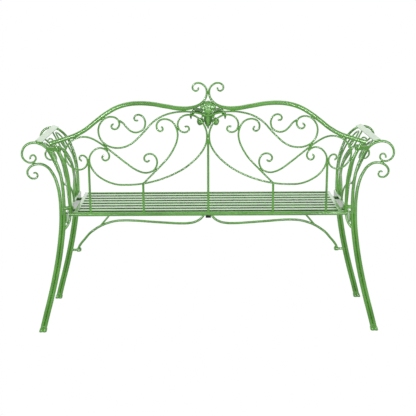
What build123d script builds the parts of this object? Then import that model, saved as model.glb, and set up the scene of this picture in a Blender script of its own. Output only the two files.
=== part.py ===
from build123d import *
import os
from math import cos, radians, sin, sqrt

# Wrought garden bench for two, in millimetres.  X runs along the seat, -Y is the side people sit on,
# +Z is up.  "left" is the sitter's left (+X).  Everything on the left is built once and mirrored.

# ---- driving dimensions ---------------------------------------------------------------------------
LEG_PLANE_Y = 220.0          # front and rear leg frames stand at -Y and +Y of this
LEG_BAR_R = 5.8              # round bar of the legs
LEG_PAIR_PITCH = 12.0        # centre distance of the two bars that stand side by side
# The scrolls are drawn out: number of the key point above the seat and the bar's radius there.
LEG_INNER_TAPER = [(2, LEG_BAR_R), (6, 4.8), (7, 4.8), (11, 3.6), (17, 3.1)]
LEG_OUTER_TAPER = [(1, LEG_BAR_R), (5, 4.6), (9, 3.6), (14, 3.1)]
ARM_SEAT_R = 4.8             # radius of the inner bar under the armrest
SEAT_TOP_Z = 446.0
SLAT_WIDTH = 26.0
SLAT_PITCH = 50.0
SLAT_THICK = 8.0
SLAT_WALL = 1.2
SLAT_COUNT = 7               # between the front and rear seat rails
SEAT_HALF_LENGTH = 491.0
SEAT_RAIL_R = 7.0            # round front and rear rails of the seat frame
SEAT_FRONT_RAIL_Y = -203.0
SEAT_REAR_RAIL_Y = 197.0
SEAT_SIDE_RAIL = 14.0        # square side rails
SEAT_SIDE_RAIL_WALL = 1.5
SUPPORT_WIDTH = 19.0         # cross tube under the middle of the slats
SUPPORT_HEIGHT = 12.0
PLUG_THICK = 2.5
TUBE_ROUNDING = 1.5
BACK_RAIL_Y = 213.0          # axis of the rail at the foot of the back panel
BACK_RAIL_Z = 443.6
BACK_RAIL_R = 7.0
BACK_RAIL_HALF_LENGTH = 505.0
BACK_RECLINE = 6.0           # degrees
BACK_ROD_R = 3.25            # scroll rods of the back
BACK_BAR_R = 4.0             # upright bars of the back
BACK_POST_R = 6.0
STAY_R = 4.5
TOP_RAIL_R = 7.8
# Key point number and radius: the rail thins quickly where it turns up into the finial.
TOP_RAIL_TAPER = [(12, TOP_RAIL_R), (15, 4.9), (17, 3.6), (26, 3.0)]
# Upright bars of the back: distance from the middle and the height their heads reach.
BAR_CENTRE_TOP = 276.0
BAR_MIDDLE_X, BAR_MIDDLE_TOP = 233.5, 114.0
BAR_OUTER_X, BAR_OUTER_TOP = 426.0, 188.0
ARM_X = 606.0                # where the armrest touches the leg scroll
ARM_WIDTH = 24.0
ARM_THICK = 4.0
ARM_OVERHANG = 6.0
ARM_CORNER_R = 5.0
ARM_ROUNDING = 1.2
SIDE_BEAM_THICK = 5.0
SIDE_BEAM_HEIGHT = 30.0
SIDE_BEAM_TOP_Z = 443.0
SIDE_ROD_R = 3.25
SIDE_RAIL_R = 4.0
SIDE_RAIL_CLEARANCE = 1.0    # between the ends of the side rail and the legs
SIDE_FLARE = (8.06e-4, 2.03e-6)  # outward flare of the side panels: square and cube of the rise
BRACE_R = 4.8
BRACE_BOLT_Z = 205.0
BRACE_EYE_R = 8.0
BRACE_EYE_THICK = 12.0
BRACE_SLEEVE_R = 5.0
STRUT_R = 3.7
CAP_HEIGHT = 14.0
CAP_WALL = 2.0
# Height of each ring of a foot cap, and how far its outline is drawn in.
CAP_RINGS = [(0, 1.5), (1.5, 0), (13, 0), (CAP_HEIGHT, 1)]
BOLT_R = 3.0
BOLT_HEAD_R = 6.0
BOLT_HEAD_H = 4.5
BOLT_HEAD_ROUNDING = 2.7
WASHER_R = 7.5
WASHER_T = 1.2
BACK_SPACER_R = 7.0
SEAT_SPACER_R = 6.0
SEAT_BOLT_Y = 110.0          # screws from the side beams into the seat frame, front and rear
SEAT_BOLT_DROP = 2.0         # below the middle of the side rail
SEAT_BOLT_BITE = 5.5         # how far they reach inside the side rail
ROSE_FRONT = 3.3             # the leaves start this far in front of the middle of the rods
LEAF_THICK = 4.7
ROSE_HEIGHT = 379.0          # middle of the bloom above the axis of the foot rail
LEAF_CHAMFER = 1.4
BLOOM_BASE_R = 15.0
BLOOM_BASE_THICK = 4.0
# Rings of petals: distance from the middle, petal radius, count, rise, tilt in degrees.
BLOOM_RINGS = [(15.5, 12.0, 5, 5.5, 24), (9.5, 9.5, 4, 9.5, 44), (5.0, 7.5, 3, 12.5, 62)]
PETAL_THICK = 3.2
PETAL_ROUNDING = 1.4
BLOOM_HEART_R = 5.5
BLOOM_HEART_RISE = 12.0
BUD = (27, 337)              # middle of a bud: across and up the panel
BUD_R = 11.5
BUD_CLEARANCE = 0.1          # in front of the rods
BUD_STEM_R = 2.4
BUD_STEM = [(-5, 16), (-13, 30)]  # where the stem goes from the bud: across and up

# ---- key points the bars pass through ---------------------------------------------------------------
# Leg frame, (X, Z) on the left side, from the foot to the seat: middle line of the pair of bars.
LEG_PAIR = [(613, 4), (598, 62), (581, 124), (563, 196), (547, 272), (536, 340), (529, 400), (527, 444)]
# Inner bar from the seat up, over the arm scroll and into its curl.
LEG_INNER_SCROLL = [
    (521, 493), (523, 540), (530, 590), (543, 632), (557, 663), (575, 685), (598, 701), (624, 706),
    (648, 698), (663, 678), (664, 655), (652, 639), (636, 633.8), (620, 640), (616, 652), (624, 661),
    (635, 656), (636, 646),
]
# Outer bar from the seat up into the lower scroll.
LEG_OUTER_SCROLL = [
    (534, 500), (540, 545), (555, 589), (576, 618), (592, 627), (608, 629), (625, 625.6), (640, 616),
    (648, 601), (643, 584), (629, 576), (615, 580), (612, 590), (619, 597), (626, 595),
]

# Back panel, (X, height up the panel from the axis of its foot rail), left side.
TOP_RAIL = [
    (561, 263.7), (536, 271), (504, 281), (472, 292), (432, 314), (398, 341), (361, 369), (318, 393),
    (273, 405), (238, 407), (203, 405), (150, 396), (98, 388), (68, 389), (45, 394), (27, 403),
    (11, 420), (4.1, 443), (7, 460), (16, 471), (31, 478), (46, 475), (54, 464), (50, 453), (41, 450),
    (34, 456), (34, 462),
]
BACK_POST = [(499, 0), (499, 50), (500, 110), (505, 155), (514, 194), (526, 222), (545, 260)]
ARCH_SCROLL = [
    (0, 362), (33, 370.5), (62, 375.7), (91, 376.5), (120, 373.2), (149, 365.6), (177, 352), (200, 334),
    (223, 308), (247, 283), (271, 262), (295, 250), (319, 246), (342, 248.5), (364, 259), (380, 277),
    (387, 297), (387, 318), (378, 338.5), (360, 354.5), (341, 359), (324, 354), (314, 341), (315, 325),
    (325, 315), (338, 317), (341, 327), (333, 332),
]
SMALL_SCROLL = [
    (313, 345), (301, 337), (287, 320), (273, 307), (257, 302), (242, 305), (228, 315), (222, 330),
    (223, 347), (232, 361), (245, 366), (257, 361), (260, 351), (254, 345), (247, 347),
]
INNER_SCROLL = [
    (166, 322), (160, 314), (168, 306), (178, 311), (182, 323), (179, 336), (169, 346), (154, 350),
    (138, 347), (124, 338), (113.6, 321), (107.6, 297), (111, 270), (122, 243), (140, 213), (167, 182),
    (197, 151), (231, 116),
]
HEART_SCROLL = [
    (82, 321), (73, 323), (67, 314), (73, 305), (86, 302), (98, 307), (105.6, 320), (106, 338),
    (97, 354), (82, 363), (65, 365), (47, 361), (30, 349), (16, 331), (6, 307), (4, 284), (7, 262),
    (16, 241), (31, 219), (55, 194), (90, 167), (127, 147), (172, 129), (227, 115), (287, 109.5),
    (332, 112), (369, 126), (397, 146), (415, 170), (423, 194), (422, 213), (412, 231), (397, 243),
    (380, 246), (365, 240), (355, 228), (352, 215), (357, 204), (367, 200), (376, 206), (377, 214),
    (371, 219),
]
SIDE_S_SCROLL = [
    (450, 200), (457, 204), (458, 212), (453, 218), (445, 219), (435.5, 213), (430, 200), (432.5, 185),
    (442, 173), (455, 167), (471, 168), (486, 175), (498, 187), (506, 202), (510, 219), (508, 237),
    (501, 253), (490, 267), (475, 278), (457, 285), (438, 287), (421, 284), (403, 276), (384, 264),
    (365, 250), (331, 222), (296, 193), (261, 167), (243, 158), (226, 154), (208, 156.5), (193.5, 164.3),
    (185, 178), (182, 194), (186, 210), (196, 221), (209, 224), (221, 220), (228, 210), (226, 200),
    (218, 195), (210, 201),
]

# Side panel, (Y, Z) of the rear half, drawn on the flared surface; the front half is its mirror image.
SIDE_LYRE = [
    (4, 451), (9, 473), (30, 499), (66, 521), (98, 539), (112, 556), (104, 578), (82, 600), (64, 622),
    (58, 645), (66, 668), (88, 691), (108, 707),
]
SIDE_SCROLL = [
    (112, 555), (135, 544), (165, 543), (191, 556), (205, 580), (208.6, 606), (204, 640), (191, 671),
    (170, 690), (145, 694), (125, 682), (117, 661), (122, 642), (137, 634), (150, 641), (152, 654),
    (144, 660),
]
SIDE_STRUT_FOOT_Y = 130
SIDE_STRUT_HEAD = (112, 553)

# Front brace, (X, Z) on the left side, from the leg bolt to the middle of the front rail.
BRACE = [
    (526, 209), (524.5, 216), (517, 229), (499, 251), (478, 275), (457, 291), (430, 307), (402, 318), (375, 325),
    (340, 328), (290, 327), (234, 323), (170, 319), (110, 316), (78, 317), (50, 323), (28, 336),
    (13, 357), (7.5, 385), (6.5, 430),
]
STRUT_FOOT = (432, 308)
STRUT_HEAD_X = 322

# Bolted joints of the back: place on the post (X, height) and on the middle of the inner leg bar (X, Z).
BACK_JOINTS = [((499, 24), (520.8, 466.5)), ((534.5, 240), (574, 684))]
# Stay under the foot rail, (X, Y, Z).
STAY = [(500.5, 213, 439), (502, 214, 424), (508, 217, 408), (520, 220, 391)]

parts = {}


# ---- bars along smooth curves -------------------------------------------------------------------------
def circle_tangents(points):
    """Direction of travel at each point: that of the circle through it and its two neighbours."""
    inner = []
    for before, here, after in zip(points, points[1:], points[2:]):
        a, b = here - before, after - here
        inner.append((a / a.length**2 + b / b.length**2).normalized())

    def other_end(tangent, chord):
        chord = chord.normalized()
        return (chord * (2 * chord.dot(tangent)) - tangent).normalized()

    first = other_end(inner[0], points[1] - points[0])
    last = other_end(inner[-1], points[-1] - points[-2])
    return [first, *inner, last]


def tangent_edge(start, direction, end):
    """An arc that leaves start along direction and reaches end, or a line where they agree."""
    if (end - start).normalized().cross(direction).length < 1e-4:
        return Edge.make_line(start, end)
    return Edge.make_tangent_arc(start, direction, end)


def smooth_edges(points, first=None, last=None):
    """Two tangent arcs between each pair of neighbouring points, so the whole run is smooth."""
    points = [Vector(*p) for p in points]
    tangents = circle_tangents(points)
    tangents[0] = Vector(*first).normalized() if first else tangents[0]
    tangents[-1] = Vector(*last).normalized() if last else tangents[-1]
    edges = []
    for p, q, tp, tq in zip(points, points[1:], tangents, tangents[1:]):
        chord = q - p
        along = chord.dot(tp + tq)
        bend = 2 * (1 - tp.dot(tq))
        if bend < 1e-9:
            reach = chord.length**2 / (2 * along)
        else:
            reach = (sqrt(along**2 + bend * chord.length**2) - along) / bend
        leave, arrive = p + tp * reach, q - tq * reach
        middle = (leave + arrive) / 2
        edges.append(tangent_edge(p, tp, middle))
        edges.append(tangent_edge(middle, (arrive - leave).normalized(), q))
    return edges


def disc_across(wire, radius, at):
    return Plane(origin=wire @ at, z_dir=wire % at) * Circle(radius)


def bar(points, radius, taper=(), first=None, last=None):
    """A round bar through the points; taper lists (point number, radius) up to the last point."""
    edges = smooth_edges(points, first, last)
    body_end = taper[0][0] if taper else len(points) - 1
    shape = None
    if body_end > 0:
        body = Wire(edges[:2 * body_end])
        shape = sweep(disc_across(body, radius, 0), path=body)
    for (start, start_radius), (end, end_radius) in zip(taper, taper[1:]):
        run = Wire(edges[2 * start:2 * end])
        ends = [disc_across(run, start_radius, 0), disc_across(run, end_radius, 1)]
        piece = sweep(ends, path=run, multisection=True)
        shape = piece if shape is None else shape + piece
    return shape


def cylinder_between(start, end, radius):
    start, end = Vector(*start), Vector(*end)
    profile = Plane(origin=start, z_dir=end - start) * Circle(radius)
    return extrude(profile, amount=(end - start).length)


def mirrored(shape):
    return mirror(shape, about=Plane.YZ)


def both_sides(name, left_shape):
    parts[f"{name}_left"] = left_shape
    parts[f"{name}_right"] = mirrored(left_shape)


def group(*shapes):
    """Several separate solids kept in one node."""
    return Compound([solid for shape in shapes for solid in shape.solids()])


def largest(shape):
    """The main solid, without the scraps that cutting an end can leave."""
    return max(shape.solids(), key=lambda solid: solid.volume)


# ---- leg frames -----------------------------------------------------------------------------------------
def pair_line(side):
    """One bar of the pair below the seat: side -1 is the inner bar, +1 the outer."""
    points = [Vector(x, LEG_PLANE_Y, z) for x, z in LEG_PAIR]
    upward = Vector(0, 0, 1)
    tangents = circle_tangents(points)
    tangents[-1] = upward
    across = [Vector(t.Z, 0, -t.X) for t in tangents]
    return [p + n * (side * LEG_PAIR_PITCH / 2) for p, n in zip(points, across)]


def leg_bar(side, scroll, scroll_taper):
    lower = pair_line(side)
    upper = [Vector(x, LEG_PLANE_Y, z) for x, z in scroll]
    taper = [(len(lower) + number, radius) for number, radius in scroll_taper]
    return bar(lower + upper, LEG_BAR_R, taper)


rear_inner_leg = leg_bar(-1, LEG_INNER_SCROLL, LEG_INNER_TAPER)
rear_outer_leg = leg_bar(+1, LEG_OUTER_SCROLL, LEG_OUTER_TAPER)
leg_depth = Vector(0, -2 * LEG_PLANE_Y, 0)
front_inner_leg = Pos(leg_depth) * rear_inner_leg
front_outer_leg = Pos(leg_depth) * rear_outer_leg


def foot_cap():
    """A shoe that both bars of a leg stand in, leaning with them, flat on the ground."""
    lean = (LEG_PAIR[0][0] - LEG_PAIR[1][0]) / (LEG_PAIR[1][1] - LEG_PAIR[0][1])
    foot_x = LEG_PAIR[0][0] + lean * LEG_PAIR[0][1]
    long_side = LEG_PAIR_PITCH + 2 * (LEG_BAR_R + CAP_WALL) + 1
    wide = 2 * (LEG_BAR_R + CAP_WALL)
    rings = []
    for z, shrink in CAP_RINGS:
        centre = (foot_x - lean * z, LEG_PLANE_Y, z)
        outline = SlotOverall(long_side - 2 * shrink, wide - 2 * shrink)
        rings.append(Plane(origin=centre) * outline)
    return loft(rings, ruled=True) - rear_inner_leg - rear_outer_leg


rear_cap = foot_cap()
front_cap = Pos(leg_depth) * rear_cap


# ---- sides: armrests, beams and side panels ---------------------------------------------------------------
def arm_contact():
    """Point and direction of the leg scroll where the armrest lies on it."""
    edges = smooth_edges([Vector(x, LEG_PLANE_Y, z) for x, z in LEG_INNER_SCROLL])
    for edge in edges:
        if edge.position_at(0).X <= ARM_X <= edge.position_at(1).X:
            share = (ARM_X - edge.position_at(0).X) / (edge.position_at(1).X - edge.position_at(0).X)
            return edge.position_at(share), edge.tangent_at(share)
    raise ValueError("the armrest is off the leg scroll")


touch_point, touch_direction = arm_contact()
arm_up = Vector(-touch_direction.Z, 0, touch_direction.X)
arm_seat = touch_point + arm_up * ARM_SEAT_R
arm_plane = Plane(origin=(arm_seat.X, 0, arm_seat.Z), x_dir=touch_direction, z_dir=arm_up)
arm_blank = extrude(
    arm_plane * RectangleRounded(ARM_WIDTH, 2 * (LEG_PLANE_Y + ARM_OVERHANG), ARM_CORNER_R), amount=ARM_THICK
)
armrest = fillet(arm_blank.edges().filter_by(Axis.Y), ARM_ROUNDING)


def on_side(y, z):
    """Point of the flared side surface at this depth and height."""
    rise = z - side_rail_z
    return Vector(side_panel_x + SIDE_FLARE[0] * rise**2 + SIDE_FLARE[1] * rise**3, y, z)


beam_outer_x = LEG_PAIR[-1][0] - LEG_PAIR_PITCH / 2 - LEG_BAR_R
side_panel_x = beam_outer_x - SIDE_BEAM_THICK / 2
side_beam = Pos(side_panel_x, 0, SIDE_BEAM_TOP_Z - SIDE_BEAM_HEIGHT / 2) * Box(
    SIDE_BEAM_THICK, 2 * (LEG_PLANE_Y + LEG_BAR_R), SIDE_BEAM_HEIGHT
)
side_rail_z = SIDE_BEAM_TOP_Z + SIDE_RAIL_R
side_rail_end = LEG_PLANE_Y - LEG_BAR_R - SIDE_RAIL_CLEARANCE
side_rail = cylinder_between(
    (side_panel_x, -side_rail_end, side_rail_z), (side_panel_x, side_rail_end, side_rail_z), SIDE_RAIL_R
)
side_lyre_blank = bar([on_side(y, z) for y, z in SIDE_LYRE], SIDE_ROD_R, first=(0, 0, 1))
side_lyre_rear = largest(side_lyre_blank - side_rail - arm_blank)
strut_ends = on_side(SIDE_STRUT_FOOT_Y, side_rail_z), on_side(*SIDE_STRUT_HEAD)
side_strut_rear = largest(cylinder_between(*strut_ends, SIDE_ROD_R) - side_rail - side_lyre_rear)
side_scroll_blank = bar([on_side(y, z) for y, z in SIDE_SCROLL], SIDE_ROD_R)
side_scroll_rear = largest(side_scroll_blank - side_lyre_rear - side_strut_rear)


def fore_and_aft(shape):
    """The rear piece and its mirror image at the front."""
    return shape, mirror(shape, about=Plane.XZ)


# ---- back panel ---------------------------------------------------------------------------------------------
lean_y, lean_z = sin(radians(BACK_RECLINE)), cos(radians(BACK_RECLINE))


def on_back(x, height, forward=0.0):
    """A point of the back panel; forward is measured out of the panel, towards the sitter."""
    y = BACK_RAIL_Y + height * lean_y - forward * lean_z
    z = BACK_RAIL_Z + height * lean_z + forward * lean_y
    return Vector(x, y, z)


def back_curve(points):
    return [on_back(x, height) for x, height in points]


back_rail = cylinder_between(
    on_back(-BACK_RAIL_HALF_LENGTH, 0), on_back(BACK_RAIL_HALF_LENGTH, 0), BACK_RAIL_R
)
top_rail = bar(back_curve(TOP_RAIL), TOP_RAIL_R, TOP_RAIL_TAPER)
heart = bar(back_curve(HEART_SCROLL), BACK_ROD_R)
s_scroll = bar(back_curve(SIDE_S_SCROLL), BACK_ROD_R)
arch = bar(back_curve(ARCH_SCROLL), BACK_ROD_R, first=(1, 0, 0))
small_scroll = largest(bar(back_curve(SMALL_SCROLL), BACK_ROD_R) - arch)
inner_scroll = largest(bar(back_curve(INNER_SCROLL), BACK_ROD_R) - heart)


def upright(x, head, *neighbours):
    shape = cylinder_between(on_back(x, 0), on_back(x, head), BACK_BAR_R) - back_rail
    for neighbour in neighbours:
        shape = shape - neighbour
    return largest(shape)


bar_centre = upright(0, BAR_CENTRE_TOP, heart, mirrored(heart))
bar_middle = upright(BAR_MIDDLE_X, BAR_MIDDLE_TOP, heart)
bar_outer = upright(BAR_OUTER_X, BAR_OUTER_TOP, heart, s_scroll)
post_blank = largest(bar(back_curve(BACK_POST), BACK_POST_R) - back_rail - top_rail)


# ---- fasteners --------------------------------------------------------------------------------------------
def screw(seat, direction, length):
    """Round-headed screw: seat is where the head bears, direction points along the shank."""
    top = seat - direction * BOLT_HEAD_H
    head = cylinder_between(top, seat, BOLT_HEAD_R)
    rim = head.edges().filter_by(GeomType.CIRCLE).sort_by_distance(top)[0]
    return fillet(rim, BOLT_HEAD_ROUNDING) + cylinder_between(seat, seat + direction * length, BOLT_R)


# ---- bolted joints between the back panel and the rear legs -------------------------------------------------
def back_joint(post_point, leg_point):
    """Spacer, washer and screw on the line from the post to the middle of the inner leg bar."""
    out = (leg_point - post_point).normalized()
    washer_seat = post_point - out * BACK_POST_R
    head_seat = washer_seat - out * WASHER_T
    fixing = screw(head_seat, out, (leg_point - head_seat).length)
    spacer = largest(cylinder_between(post_point, leg_point, BACK_SPACER_R) - rear_inner_leg - post_blank)
    washer = cylinder_between(head_seat, washer_seat, WASHER_R) - post_blank
    return spacer - fixing, washer - fixing, fixing


joints = [
    back_joint(on_back(*post_place), Vector(leg_x, LEG_PLANE_Y, leg_z))
    for post_place, (leg_x, leg_z) in BACK_JOINTS
]
back_post = post_blank
rear_inner_leg_drilled = rear_inner_leg
for spacer, washer, fixing in joints:
    back_post = back_post - fixing
    rear_inner_leg_drilled = rear_inner_leg_drilled - fixing

# A short stay runs from the end of the foot rail down to the leg.
lower_stay = largest(bar(STAY, STAY_R) - back_rail - rear_inner_leg)


# ---- seat ---------------------------------------------------------------------------------------------------
def box_tube(length, width, height, wall, rounding=TUBE_ROUNDING):
    """Rectangular tube along X, open at its ends."""
    section = RectangleRounded(width, height, rounding) - Rectangle(width - 2 * wall, height - 2 * wall)
    return extrude(Plane.YZ * section, amount=length / 2, both=True)


seat_rail_z = SEAT_TOP_Z - SEAT_RAIL_R


def seat_rail(y):
    ends = [(end * SEAT_HALF_LENGTH, y, seat_rail_z) for end in (-1, 1)]
    return cylinder_between(*ends, SEAT_RAIL_R)


seat_front_rail = seat_rail(SEAT_FRONT_RAIL_Y)
seat_rear_rail = seat_rail(SEAT_REAR_RAIL_Y)
rail_gap = SEAT_REAR_RAIL_Y - SEAT_FRONT_RAIL_Y
rail_middle_y = (SEAT_REAR_RAIL_Y + SEAT_FRONT_RAIL_Y) / 2
slat_half_length = SEAT_HALF_LENGTH - SEAT_SIDE_RAIL
slat = box_tube(2 * slat_half_length, SLAT_WIDTH, SLAT_THICK, SLAT_WALL)
slats = [
    Pos(0, (number - (SLAT_COUNT - 1) / 2) * SLAT_PITCH, SEAT_TOP_Z - SLAT_THICK / 2) * slat
    for number in range(SLAT_COUNT)
]
side_tube = Rot(0, 0, 90) * box_tube(rail_gap, SEAT_SIDE_RAIL, SEAT_SIDE_RAIL, SEAT_SIDE_RAIL_WALL)
seat_side_rail = Pos(SEAT_HALF_LENGTH - SEAT_SIDE_RAIL / 2, rail_middle_y, seat_rail_z) * side_tube
seat_side_rail = seat_side_rail - seat_front_rail - seat_rear_rail

support_z = SEAT_TOP_Z - SLAT_THICK - SUPPORT_HEIGHT / 2
support_length = rail_gap + 2 * SEAT_RAIL_R
support_tube = Rot(0, 0, 90) * box_tube(support_length, SUPPORT_WIDTH, SUPPORT_HEIGHT, SLAT_WALL, 1)
support = Pos(0, rail_middle_y, support_z) * support_tube - seat_front_rail - seat_rear_rail
plug_blank = Box(SUPPORT_WIDTH, PLUG_THICK, SUPPORT_HEIGHT)
plug_blank = fillet(plug_blank.edges().filter_by(Axis.Y), 1)
plug_offset = (support_length + PLUG_THICK) / 2
support_plugs = [Pos(0, rail_middle_y + end * plug_offset, support_z) * plug_blank for end in (-1, 1)]

seat_bolt_z = seat_rail_z - SEAT_BOLT_DROP
beam_inner_x = side_panel_x - SIDE_BEAM_THICK / 2
seat_bolt_length = beam_outer_x - SEAT_HALF_LENGTH + SEAT_BOLT_BITE
seat_screws, seat_spacers = [], []
side_beam_drilled = side_beam
for bolt_y in (-SEAT_BOLT_Y, SEAT_BOLT_Y):
    fixing = screw(Vector(beam_outer_x, bolt_y, seat_bolt_z), Vector(-1, 0, 0), seat_bolt_length)
    spacer = cylinder_between(
        (SEAT_HALF_LENGTH, bolt_y, seat_bolt_z), (beam_inner_x, bolt_y, seat_bolt_z), SEAT_SPACER_R
    )
    seat_screws.append(fixing)
    seat_spacers.append(spacer - fixing)
    side_beam_drilled = side_beam_drilled - fixing
    seat_side_rail = seat_side_rail - fixing

# ---- front braces -------------------------------------------------------------------------------------------
brace_eye_x = BRACE[0][0]
brace_leg_y = -LEG_PLANE_Y


def brace_point(x, z):
    """The brace runs from the plane of the front legs back to the front rail of the seat."""
    share = 1 - x / brace_eye_x
    return Vector(x, brace_leg_y + share * (SEAT_FRONT_RAIL_Y - brace_leg_y), z)


brace_leg_point = Vector(LEG_PAIR[3][0] - LEG_PAIR_PITCH / 2, brace_leg_y, BRACE_BOLT_Z)
eye_start = Vector(brace_eye_x - BRACE_EYE_THICK / 2, brace_leg_y, BRACE_BOLT_Z)
eye_end = Vector(brace_eye_x + BRACE_EYE_THICK / 2, brace_leg_y, BRACE_BOLT_Z)
brace_screw = screw(eye_start, Vector(1, 0, 0), (brace_leg_point - eye_start).length)
sleeve = cylinder_between(eye_end, brace_leg_point, BRACE_SLEEVE_R)
brace_sleeve = largest(sleeve - front_inner_leg - brace_screw)
brace_eye = cylinder_between(eye_start, eye_end, BRACE_EYE_R)
brace_rod = bar([brace_point(x, z) for x, z in BRACE], BRACE_R, last=(0, 0, 1))
brace = largest(brace_rod + brace_eye - support - brace_screw - brace_sleeve)
strut_line = cylinder_between(
    brace_point(*STRUT_FOOT), (STRUT_HEAD_X, SEAT_FRONT_RAIL_Y, seat_rail_z), STRUT_R
)
strut = largest(strut_line - brace_rod - seat_front_rail)
front_inner_leg_drilled = front_inner_leg - brace_screw

# ---- rose on the front of the back panel --------------------------------------------------------------------
back_plane = Plane(origin=on_back(0, 0), x_dir=(1, 0, 0), z_dir=on_back(0, 0, 1) - on_back(0, 0))


def leaf(*edges):
    """A leaf of the casting: a plate with this outline, lying against the front of the rods."""
    plate = extrude(back_plane.offset(ROSE_FRONT) * make_face(edges), amount=LEAF_THICK)
    front_face = plate.faces().sort_by(Axis((0, 0, 0), back_plane.z_dir))[-1]
    return chamfer(front_face.edges(), LEAF_CHAMFER)


# The side leaf arches out of the middle and curls down at its tip.
side_leaf = leaf(
    Spline((6, 354), (22, 367), (40, 370), (52, 363), (56, 351)),
    Line((56, 351), (61, 350)),
    Spline((61, 350), (66, 362), (62, 374), (51, 382), (36, 384.5), (18, 379), (6, 370)),
    Line((6, 370), (6, 354)),
)
drop_leaf = leaf(
    Spline((1, 312), (8, 328), (7, 341), (2.5, 353)),
    Line((2.5, 353), (-2.5, 353)),
    Spline((-2.5, 353), (-7, 341), (-8, 328), (-1, 312)),
    Line((-1, 312), (1, 312)),
)

bloom_place = Plane(
    origin=on_back(0, ROSE_HEIGHT, ROSE_FRONT + LEAF_THICK), x_dir=(1, 0, 0), z_dir=back_plane.z_dir
)
bloom = Pos(0, 0, BLOOM_BASE_THICK / 2) * Cylinder(BLOOM_BASE_R, BLOOM_BASE_THICK)
for ring_r, petal_r, petal_count, rise, tilt in BLOOM_RINGS:
    petal = Cylinder(petal_r, PETAL_THICK)
    petal = fillet(petal.edges().filter_by(GeomType.CIRCLE), PETAL_ROUNDING)
    for number in range(petal_count):
        turn = Rot(0, 0, 360 * (number + ring_r / BLOOM_BASE_R) / petal_count)
        bloom = bloom + turn * Pos(ring_r, 0, rise) * Rot(0, -tilt, 0) * petal
bloom = bloom + Pos(0, 0, BLOOM_HEART_RISE) * Sphere(BLOOM_HEART_R)
rose_bloom = largest(bloom_place * bloom)

# Each bud hangs from the bloom on a short stem.
bud_x, bud_height = BUD
bud_forward = BACK_ROD_R + BUD_R + BUD_CLEARANCE
stem_points = [on_back(bud_x + across, bud_height + up, bud_forward) for across, up in [(0, 0), *BUD_STEM]]
bud = Pos(stem_points[0]) * Sphere(BUD_R) + bar(stem_points, BUD_STEM_R)
bud = largest(bud - rose_bloom - mirrored(rose_bloom) - side_leaf)

# ---- every node ---------------------------------------------------------------------------------------------
both_sides("rear_inner_leg", rear_inner_leg_drilled)
both_sides("rear_outer_leg", rear_outer_leg)
both_sides("front_inner_leg", front_inner_leg_drilled)
both_sides("front_outer_leg", front_outer_leg)
both_sides("armrest", armrest)
both_sides("side_beam", side_beam_drilled)
both_sides("side_lyre_rods", group(*fore_and_aft(side_lyre_rear)))
both_sides("side_scroll_rear", side_scroll_rear)
both_sides("side_scroll_front", mirror(side_scroll_rear, about=Plane.XZ))
both_sides("top_rail", top_rail)
both_sides("back_post", back_post)
both_sides("arch_scroll", arch)
both_sides("small_scroll", small_scroll)
both_sides("inner_scroll", inner_scroll)
both_sides("heart_scroll", heart)
both_sides("outer_s_scroll", s_scroll)
both_sides("seat_side_rail", seat_side_rail)
both_sides("front_brace", brace)


def with_mirror(*left_shapes):
    """The left pieces and their mirror images, as separate solids of one node."""
    return group(*left_shapes, *[mirrored(shape) for shape in left_shapes])


parts["back_foot_rail"] = back_rail
parts["back_bar_centre"] = bar_centre
parts["back_bars_middle"] = with_mirror(bar_middle)
parts["back_bars_outer"] = with_mirror(bar_outer)
parts["lower_stays"] = with_mirror(lower_stay)
parts["side_lower_rails"] = with_mirror(side_rail)
parts["side_struts"] = with_mirror(*fore_and_aft(side_strut_rear))
parts["foot_caps"] = with_mirror(rear_cap, front_cap)
parts["seat_front_rail"] = seat_front_rail
parts["seat_rear_rail"] = seat_rear_rail
parts["seat_slats"] = group(*slats)
parts["seat_support_tube"] = support
parts["support_plugs"] = group(*support_plugs)
parts["brace_struts"] = with_mirror(strut)
parts["back_spacers"] = with_mirror(*[spacer for spacer, washer, fixing in joints])
parts["back_washers"] = with_mirror(*[washer for spacer, washer, fixing in joints])
parts["back_screws"] = with_mirror(*[fixing for spacer, washer, fixing in joints])
parts["seat_spacers"] = with_mirror(*seat_spacers)
parts["seat_screws"] = with_mirror(*seat_screws)
parts["brace_sleeves"] = with_mirror(brace_sleeve)
parts["brace_screws"] = with_mirror(brace_screw)
parts["rose_bloom"] = rose_bloom
parts["rose_leaves"] = group(side_leaf, mirrored(side_leaf), drop_leaf)
parts["rose_buds"] = with_mirror(bud)

# The origin is the middle of the whole bench on the ground.
box = group(*parts.values()).bounding_box()
to_origin = Pos(-box.center().X, -box.center().Y, -box.min.Z)
os.makedirs("parts", exist_ok=True)
for name, shape in parts.items():
    solids = [to_origin * solid for solid in shape.solids()]
    export_step(solids[0] if len(solids) == 1 else group(*solids), f"parts/{name}.step")
print("nodes", len(parts), "size", box.size, "shift", to_origin.position)
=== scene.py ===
import math

import bmesh
import bpy
from mathutils import Matrix, Vector, noise
from mathutils.bvhtree import BVHTree


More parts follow.
